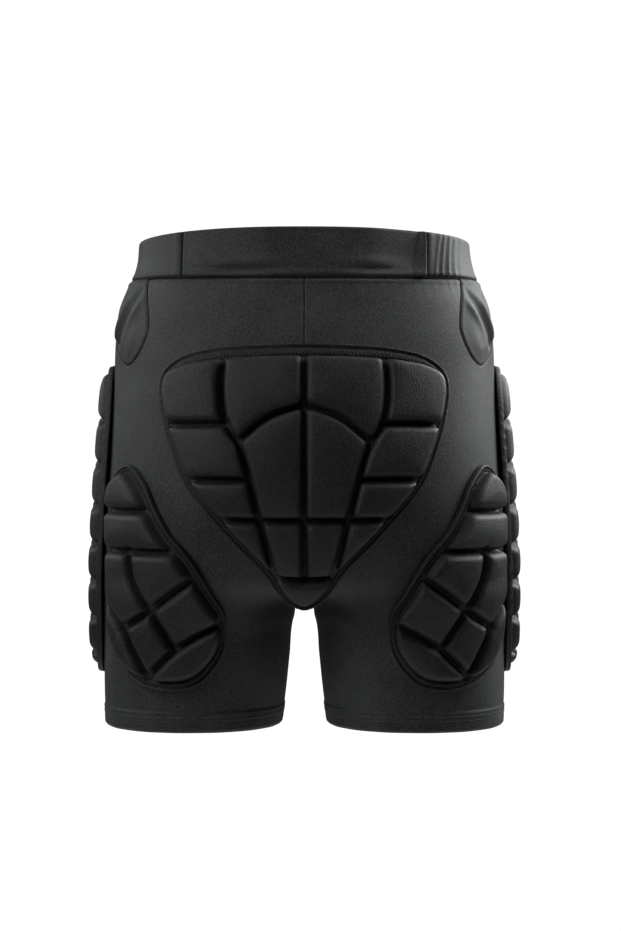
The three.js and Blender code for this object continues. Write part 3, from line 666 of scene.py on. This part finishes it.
def band_mesh(front):
    """One part of the waistband, between its two seams: outside, rim and inside in one skin."""
    columns = BAND_COLUMNS["front" if front else "back"]
    ends = 1 - SEAM_GAP / BAND_SEAM_X
    share = np.linspace(-ends, ends, columns)
    # Up the outside, over the rim and down the inside: how far out and how far up, as shares.
    outside = [(1.0, u) for u in np.linspace(0.02, 0.93, OUTSIDE_ROWS)]
    bends = np.linspace(0.3, math.pi - 0.3, RIM_ROWS)
    rim = [(0.5 + 0.5 * math.cos(a), 0.93 + 0.07 * math.sin(a)) for a in bends]
    inward = [(0.0, u) for u in np.linspace(0.93, 0.02, INSIDE_ROWS)]
    profile = np.array(outside + rim + inward)
    out, up = profile[:, :1], profile[:, 1:]
    middle = math.pi / 2 if front else -math.pi / 2
    z = np.zeros((len(profile), columns))
    for _ in range(BAND_PASSES):
        _, half, _, _ = section(z)
        seam_turn = np.arccos((BAND_SEAM_X / half) ** (SQUARENESS / 2))
        turn = middle + share * (math.pi / 2 + (1 if front else -1) * seam_turn)
        y = ring_point(z, turn)[..., 1]
        low = seam_z(y) + SEAM_GAP / 2
        z = low + up * (rim_z(y) - low)
    x = ring_point(z, turn)[..., 0]
    edge = (1 - np.abs(share)) * (180 if front else 100)
    swell = np.zeros_like(z)
    swell += -1.4 * hump(edge, 1.1) + 0.4 * hump(edge - 3.4, 1.8)
    swell += -1.3 * hump(up, 0.035) + 0.45 * hump(up - 0.1, 0.05)
    swell += 0.3 * np.sin(x / 17 + 0.6) * np.sin(up * 5)
    swell += pucker(share, up) if front else band_back_relief(x, up)
    lean = 0 if front else band_back_lean(x, up)
    grow = -CLOTH + out * (BAND_THICKNESS + swell) + lean
    rings = ring_point(np.minimum(z, 0), turn, grow)
    rings[..., 2] = z
    rows = len(profile)
    faces = list(grid_faces(rows, columns))
    for c in range(columns - 1):
        low = (rows - 1) * columns + c
        faces.append((low, low + 1, c + 1, c))
    for c, flip in ((0, False), (columns - 1, True)):
        loop = tuple(r * columns + c for r in range(rows))
        faces.append(loop[::-1] if flip else loop)
    faces = [tuple(int(v) for v in f) for f in faces]
    return rings.reshape(-1, 3), flipped(faces)


# Pads

# Steps of the search for the cloth along a ray.
HALVINGS = 36


def seat_surface(u, v):
    """The back of the shorts, stretched flat between the two halves of the seat."""
    z = v - TAIL_PAD_DROP
    centre, half, back, _ = section(z)
    y = -back * fall_off(np.maximum(0, np.abs(u) - centre) / half)
    return np.stack([u, y, z], axis=-1)


def thigh_surface(degrees):
    """A thigh, seen from its own axis: u runs round it towards the outside."""

    def surface(u, v):
        z = v - THIGH_PAD_DROP
        turn = math.radians(degrees) + u / THIGH_RADIUS
        centre, half, back, front = section(z)
        depth = np.where(np.cos(turn) > 0, back, front)
        near, far = np.zeros_like(z), np.full_like(z, HIP_WIDTH)
        for _ in range(HALVINGS):
            reach = (near + far) / 2
            x = np.abs(THIGH_AXIS + reach * np.sin(turn) - centre) / half
            y = np.abs(reach * np.cos(turn)) / depth
            within = x**SQUARENESS + y**SQUARENESS < 1
            near, far = np.where(within, reach, near), np.where(within, far, reach)
        return np.stack([THIGH_AXIS + near * np.sin(turn), -near * np.cos(turn), z], axis=-1)

    return surface


def hip_surface(u, v):
    """The right hip, as a stiff plate that only partly follows the cloth: u runs from back to front."""
    z = v - HIP_PAD_DROP
    y = u + HIP_PAD_FORWARD
    centre, half, back, front = section(z)
    drop = half * (1 - fall_off(np.abs(y) / np.where(y < 0, back, front)))
    return np.stack([centre + half - (1 - HIP_PAD_FLATNESS) * drop, y, z], axis=-1)


def raise_from(surface, flat, height):
    """Points over a surface at their height over the pad's clearance, and the normals there."""
    step = 0.5
    u, v = flat.T
    across = surface(u + step, v) - surface(u - step, v)
    upward = surface(u, v + step) - surface(u, v - step)
    normal = np.cross(across, upward)
    normal /= np.linalg.norm(normal, axis=1, keepdims=True)
    return surface(u, v) + normal * (height + PAD_CLEARANCE)[:, None], normal


# Each pad: width, height and foam; width of the flange, and where it starts and ends to widen and by how
# much; and the blocks' shape, which is the width of the rounded shoulder, its power, extra height of the
# middle, and by what share the blocks at the pad's edge are lower. Last is the step of the mesh.
PAD_SIZES = {
    "tail_pad": ((237, 218, 10.5), (6.6, -30, -8, 5.6), (5.2, 2.5, 1.9, 0.0), 1.1),
    "hip_pad": ((100, 269, 9.5), (6.4, 0, 1, 0), (7.0, 2.0, 2.2, 0.22), 1.2),
    "thigh_pad": ((116, 189, 9.5), (6.6, -135, -175, 2.6), (6.0, 2.2, 2.2, 0.0), 1.0),
}


class Pad:
    """A pad's outline, grooves and relief in its own flat measure."""

    def __init__(self, kind, outline, grooves, surface):
        (width, height, self.foam), self.edge, self.puff, self.step = PAD_SIZES[kind]
        scale = np.array([width / 2, -height])
        self.loop = spline(np.array(outline) * scale, True, 3.0)
        self.grooves = [spline(np.array(path) * scale, False, 4.0) for path in grooves]
        self.surface = surface

    def flange(self, flat):
        """Width of the sewn flange, which widens towards one end of the pad."""
        width, start, end, extra = self.edge
        return width + extra * smooth(flat[:, 1], start, end)

    def relief(self, flat, depth):
        """Height over the backing's underside: bound edge, stitched flange and rounded blocks."""
        edge = self.flange(flat)
        block = np.exp(-(depth - edge) / GROOVE_SOFTNESS)
        for line in self.grooves:
            block += np.exp(-(nearest(flat, line, False)[0] - GROOVE_FLOOR / 2) / GROOVE_SOFTNESS)
        within = -GROOVE_SOFTNESS * np.log(block)
        shoulder, power, middle, lower = self.puff
        rise = np.clip(within / shoulder, 0, 1)
        dome = 1 - lower * (1 - smooth(depth, 0, 34))
        body = (self.foam - GROOVE_WEB) * dome * (1 - (1 - rise) ** power) ** (1 / power)
        crown = middle * (1 - np.exp(-np.maximum(within, 0) / 8))
        web = GROOVE_WEB * smooth(depth, edge - 0.8, edge + 0.8)
        bead = RIM_HEIGHT * np.sqrt(np.clip(1 - ((depth - RIM_RADIUS) / RIM_RADIUS) ** 2, 0, 1))
        share = (depth - 3.7) / (edge - 3.7 - 1.2)
        ridge = np.clip(1 - np.abs(2 * share - 1) ** 4, 0, 1) ** 0.5
        floor = BACKING * smooth(depth, 0.3, 1.5)
        pull = 0.22 * np.sin(flat[:, 0] / 0.8) * np.sin(flat[:, 1] / 0.8) * smooth(depth, 3.2, 4.5)
        pull *= 1 - smooth(depth, edge - 1, edge)
        return np.maximum(floor + 1.4 * ridge, bead) + pull + web + body + crown

    def mesh(self):
        """The pad as a closed skin: the relief on top, a plain underside and a wall round them."""
        low, high = self.loop.min(axis=0) - 2 * self.step, self.loop.max(axis=0) + 2 * self.step
        us, vs = (np.arange(a, b, self.step) for a, b in zip(low, high))
        flat = np.stack(np.meshgrid(us, vs, indexing="ij"), axis=-1).reshape(-1, 2)
        depth, place = signed_distance(flat, self.loop)
        cells = grid_faces(len(us), len(vs))
        kept = cells[(depth[cells] > 0.3 * self.step).any(axis=1)]
        outer = depth < 0.3 * self.step
        flat = np.where(outer[:, None], place, flat)
        depth = np.where(outer, 0, depth)
        used, faces = np.unique(kept, return_inverse=True)
        faces = faces.reshape(kept.shape)
        flat, depth = flat[used], depth[used]
        top, _ = raise_from(self.surface, flat, self.relief(flat, depth))
        bottom, _ = raise_from(self.surface, flat, np.full(len(flat), PAD_UNDERSIDE - PAD_CLEARANCE))
        count = len(used)
        edges = np.concatenate([faces[:, [k, (k + 1) % 4]] for k in range(4)])
        keys = np.sort(edges, axis=1) @ np.array([count, 1])
        _, first, uses = np.unique(keys, return_index=True, return_counts=True)
        rim = edges[first[uses == 1]]
        walls = np.stack([rim[:, 1], rim[:, 0], rim[:, 0] + count, rim[:, 1] + count], axis=1)
        skin = np.concatenate([faces, faces[:, ::-1] + count, walls])
        return np.vstack([top, bottom]), [tuple(f) for f in skin.tolist()]


def both_halves(half):
    return half + [(-across, down) for across, down in reversed(half) if across > 0]


def mirror_path(path):
    return [(-across, down) for across, down in path]


def hip_grooves():
    """Two grooves down the side pad and its arched rows."""
    columns = []
    for across in (-HIP_COLUMN, HIP_COLUMN):
        columns.append([(across * 0.7, -0.05), (across, 0.3), (across, 0.7), (across * 0.7, 1.05)])
    end = HIP_ROW_PLACES[-1]
    rows = [[(at, down + HIP_ROW_SAG * abs(at) / end) for at in HIP_ROW_PLACES] for down in HIP_ROWS]
    return columns + rows


def pads():
    """The seat's pad, the right hip's pad and the right thigh's pad at each side's own turn."""
    tail_grooves = TAIL_GROOVES_MIDDLE + TAIL_GROOVES_SIDE + [mirror_path(p) for p in TAIL_GROOVES_SIDE]
    found = {
        "tail_pad": Pad("tail_pad", both_halves(TAIL_OUTLINE_HALF), tail_grooves, seat_surface),
        "hip_pad": Pad("hip_pad", both_halves(HIP_OUTLINE_HALF), hip_grooves(), hip_surface),
    }
    for side, degrees in THIGH_PAD_TURN.items():
        pad = Pad("thigh_pad", THIGH_OUTLINE, THIGH_GROOVES, thigh_surface(degrees))
        found["thigh_pad_" + side] = pad
    return found


# Stitches

STITCH_PITCH = 1.5
THREAD_RADIUS = 0.34
THREAD_HEIGHT = 1.6


def stitch_mesh(starts, ends, normals, radius):
    """Short threads as small four-sided spindles, from starts to ends."""
    way = ends - starts
    along = way / np.linalg.norm(way, axis=1, keepdims=True)
    side = np.cross(along, normals)
    side /= np.linalg.norm(side, axis=1, keepdims=True)
    up = np.cross(side, along)
    verts, faces = [], []
    for share, thick in ((0.0, 0.35), (0.2, 1.0), (0.8, 1.0), (1.0, 0.35)):
        spot = starts + way * share
        for a, b in ((1, 0), (0, 1), (-1, 0), (0, -0.6)):
            verts.append(spot + radius * thick * (a * side + b * up))
    verts = np.stack(verts, axis=1).reshape(-1, 3)
    base = np.arange(len(starts)) * 16
    for r in range(3):
        for k in range(4):
            a, b = 4 * r + k, 4 * r + (k + 1) % 4
            faces.append(np.stack([base + a, base + b, base + b + 4, base + a + 4], axis=1))
    faces.append(np.stack([base + 3, base + 2, base + 1, base], axis=1))
    faces.append(np.stack([base + 12, base + 13, base + 14, base + 15], axis=1))
    return verts, [tuple(f) for f in np.concatenate(faces).tolist()]


def join(parts):
    verts, faces, base = [], [], 0
    for v, f in parts:
        verts.append(v)
        faces += [tuple(k + base for k in face) for face in f]
        base += len(v)
    return np.vstack(verts), faces


def hem_stitches():
    """Two rows of stitches round the right hem."""
    parts = []
    gap = 2 * math.pi / HEM_STITCH_COUNT
    turn = gap * np.arange(HEM_STITCH_COUNT)
    for drop, radius in zip(HEM_STITCHES, HEM_STITCH_RADII):
        z = np.full(HEM_STITCH_COUNT, HEM_HEIGHT - drop - LENGTH)
        spots = [ring_point(z, turn + gap * k, HEM_RISE) for k in (0.18, 0.82)]
        normals = ring_point(z, turn, 3) - ring_point(z, turn)
        parts.append(stitch_mesh(spots[0], spots[1], normals, radius))
    return join(parts)


def shade_cord(points, normals, radius):
    """A thin dark cord along a line of points, sunk in the seam, as painted shade of the seam."""
    way = np.gradient(points, axis=0)
    side = np.cross(way, normals)
    side /= np.linalg.norm(side, axis=1, keepdims=True)
    up = np.cross(side, way)
    up /= np.linalg.norm(up, axis=1, keepdims=True)
    ring = [points + radius * (a * side + b * up) for a, b in ((1, 0), (0, 0.7), (-1, 0), (0, -0.7))]
    verts = np.stack(ring, axis=1).reshape(-1, 3)
    faces = []
    for r in range(len(points) - 1):
        for k in range(4):
            a, b = 4 * r + k, 4 * r + (k + 1) % 4
            faces.append((a, b, b + 4, a + 4))
    last = 4 * (len(points) - 1)
    return verts, [*faces, (3, 2, 1, 0), (last, last + 1, last + 2, last + 3)]


def surface_line(z, turn, height):
    points = ring_point(z, turn, height)
    return points, ring_point(z, turn, height + 2) - points


# Cords of the waist seam and of the band's seams, dark as painted shade: height over the body's outline,
# and radius. The inner one closes the gap between the edges of the cloth.
SEAM_SHADE_CORDS = [(-0.2, 0.6), (-1.25, 0.75)]
GUSSET_SHADE_CORD = (0.1, 0.36)
BAND_SEAM_TOP = 2.4
CORD_STEPS = 240


def painted_seam_shade():
    """Dark cords of painted shade in the seams of the right half: round the gusset, under the waistband and
    up the back.
    """
    y, z = gusset_loop()[3:-3].T
    _, _, back, _ = section(z)
    turn = -np.arcsin(np.clip(-y / back, 0, 1) ** (SQUARENESS / 2))
    height, radius = GUSSET_SHADE_CORD
    parts = [shade_cord(*surface_line(z, turn, height), radius)]
    turn = np.linspace(-math.pi / 2, math.pi / 2, CORD_STEPS)
    z = np.full(CORD_STEPS, -BAND_SIDE)
    for _ in range(CLOTH_PASSES):
        z = seam_z(ring_point(z, turn)[:, 1])
    for height, radius in SEAM_SHADE_CORDS:
        parts.append(shade_cord(*surface_line(z, turn, height), radius))
    z = np.linspace(BAND_SEAM_TOP, -BAND_BACK, 40)
    _, half, _, _ = section(np.minimum(z, 0))
    turn = -np.arccos((BAND_SEAM_X / half) ** (SQUARENESS / 2))
    for height, radius in SEAM_SHADE_CORDS:
        line, normals = surface_line(np.minimum(z, 0), turn, height)
        line[:, 2] = z
        parts.append(shade_cord(line, normals, radius))
    return join(parts)


# Stitches of the centre seam, near black as painted shade of the seam: pitch, length, height over the
# body's outline, and radius.
CENTRE_PITCH, CENTRE_LENGTH, CENTRE_HEIGHT, CENTRE_RADIUS = 1.9, 1.1, -0.55, 0.42


def centre_stitches_and_shade():
    """Stitches of the seam up the middle of the back, coloured near black as painted shade."""
    z = np.arange(-BAND_BACK - 1.5, -TAIL_PAD_DROP - 1, -CENTRE_PITCH)
    turn = np.full(len(z), -math.pi / 2)
    starts, normals = surface_line(z, turn, CENTRE_HEIGHT)
    ends, _ = surface_line(z - CENTRE_LENGTH, turn, CENTRE_HEIGHT)
    return stitch_mesh(starts, ends, normals, CENTRE_RADIUS)


def zigzag(pad):
    """Zigzag thread along the middle of a pad's flange."""
    line = pad.loop
    way = np.roll(line, -1, axis=0) - np.roll(line, 1, axis=0)
    way /= np.linalg.norm(way, axis=1, keepdims=True)
    area = np.sum(line[:, 0] * np.roll(line[:, 1], -1) - np.roll(line[:, 0], -1) * line[:, 1])
    inward = np.stack([-way[:, 1], way[:, 0]], axis=1) * np.sign(area)
    width = pad.flange(line)
    path = line + inward * (0.5 * (width + 2.4))[:, None]
    ring, sides, widths = (np.concatenate([part, part[:1]]) for part in (path, inward, width))
    run = np.concatenate([[0], np.cumsum(np.linalg.norm(np.diff(ring, axis=0), axis=1))])
    count = 2 * int(run[-1] / STITCH_PITCH / 2)
    at = np.linspace(0, run[-1], count, endpoint=False)
    spot = np.stack([np.interp(at, run, ring[:, k]) for k in range(2)], axis=1)
    side = np.stack([np.interp(at, run, sides[:, k]) for k in range(2)], axis=1)
    swing = 0.24 * np.interp(at, run, widths) - 0.6
    spot += side * (swing * np.where(np.arange(count) % 2, 1, -1))[:, None]
    points, normals = raise_from(pad.surface, spot, np.full(count, BACKING + THREAD_HEIGHT))
    return stitch_mesh(points, np.roll(points, -1, axis=0), normals, THREAD_RADIUS)


# Assembly


def build():
    cloth, band, cover = fabric("cloth"), fabric("waistband"), fabric("pad_cover")
    # The last material is painted shade: near black, for the seam cords and the centre stitches.
    thread, hem_thread, painted_shade = fabric("thread"), fabric("hem_thread"), fabric("seam_shade")

    verts, faces = panel_mesh()
    for side, (v, f) in {"right": (verts, faces), "left": mirrored(verts, faces)}.items():
        piece = add_piece(f"shorts_{side}", v, f, cloth, "cloth", (f"panel_{side}", f"gusset_{side}"))
    for part, front in (("back", False), ("front", True)):
        v, f = band_mesh(front)
        piece = add_piece(f"band_{part}", v, f, band, "waistband", (f"waistband_{part}",))

    made = pads()
    nodes = ("tail_pad_backing", "tail_pad_foam")
    tail = add_piece("tail_pad", *made["tail_pad"].mesh(), cover, "pad_foam", nodes)
    add_piece("tail_pad_stitches", *zigzag(made["tail_pad"]), thread, "pad_foam", ())
    for side in ("right", "left"):
        own = mirrored if side == "left" else lambda v, f: (v, f)
        for name, source in (("thigh_pad", made[f"thigh_pad_{side}"]), ("hip_pad", made["hip_pad"])):
            nodes = (f"{name}_backing_{side}", f"{name}_foam_{side}")
            piece = add_piece(f"{name}_{side}", *own(*source.mesh()), cover, "pad_foam", nodes)
            threads = own(*zigzag(source))
            add_piece(f"{name}_stitches_{side}", *threads, thread, "pad_foam", ())
        add_piece(f"hem_stitches_{side}", *own(*hem_stitches()), hem_thread, "cloth", ())
        add_piece(f"seams_{side}", *own(*painted_seam_shade()), painted_shade, "cloth", ())
    add_piece("centre_stitches_and_shade", *centre_stitches_and_shade(), painted_shade, "cloth", ())


add_camera()
add_studio()
add_floor()
build()
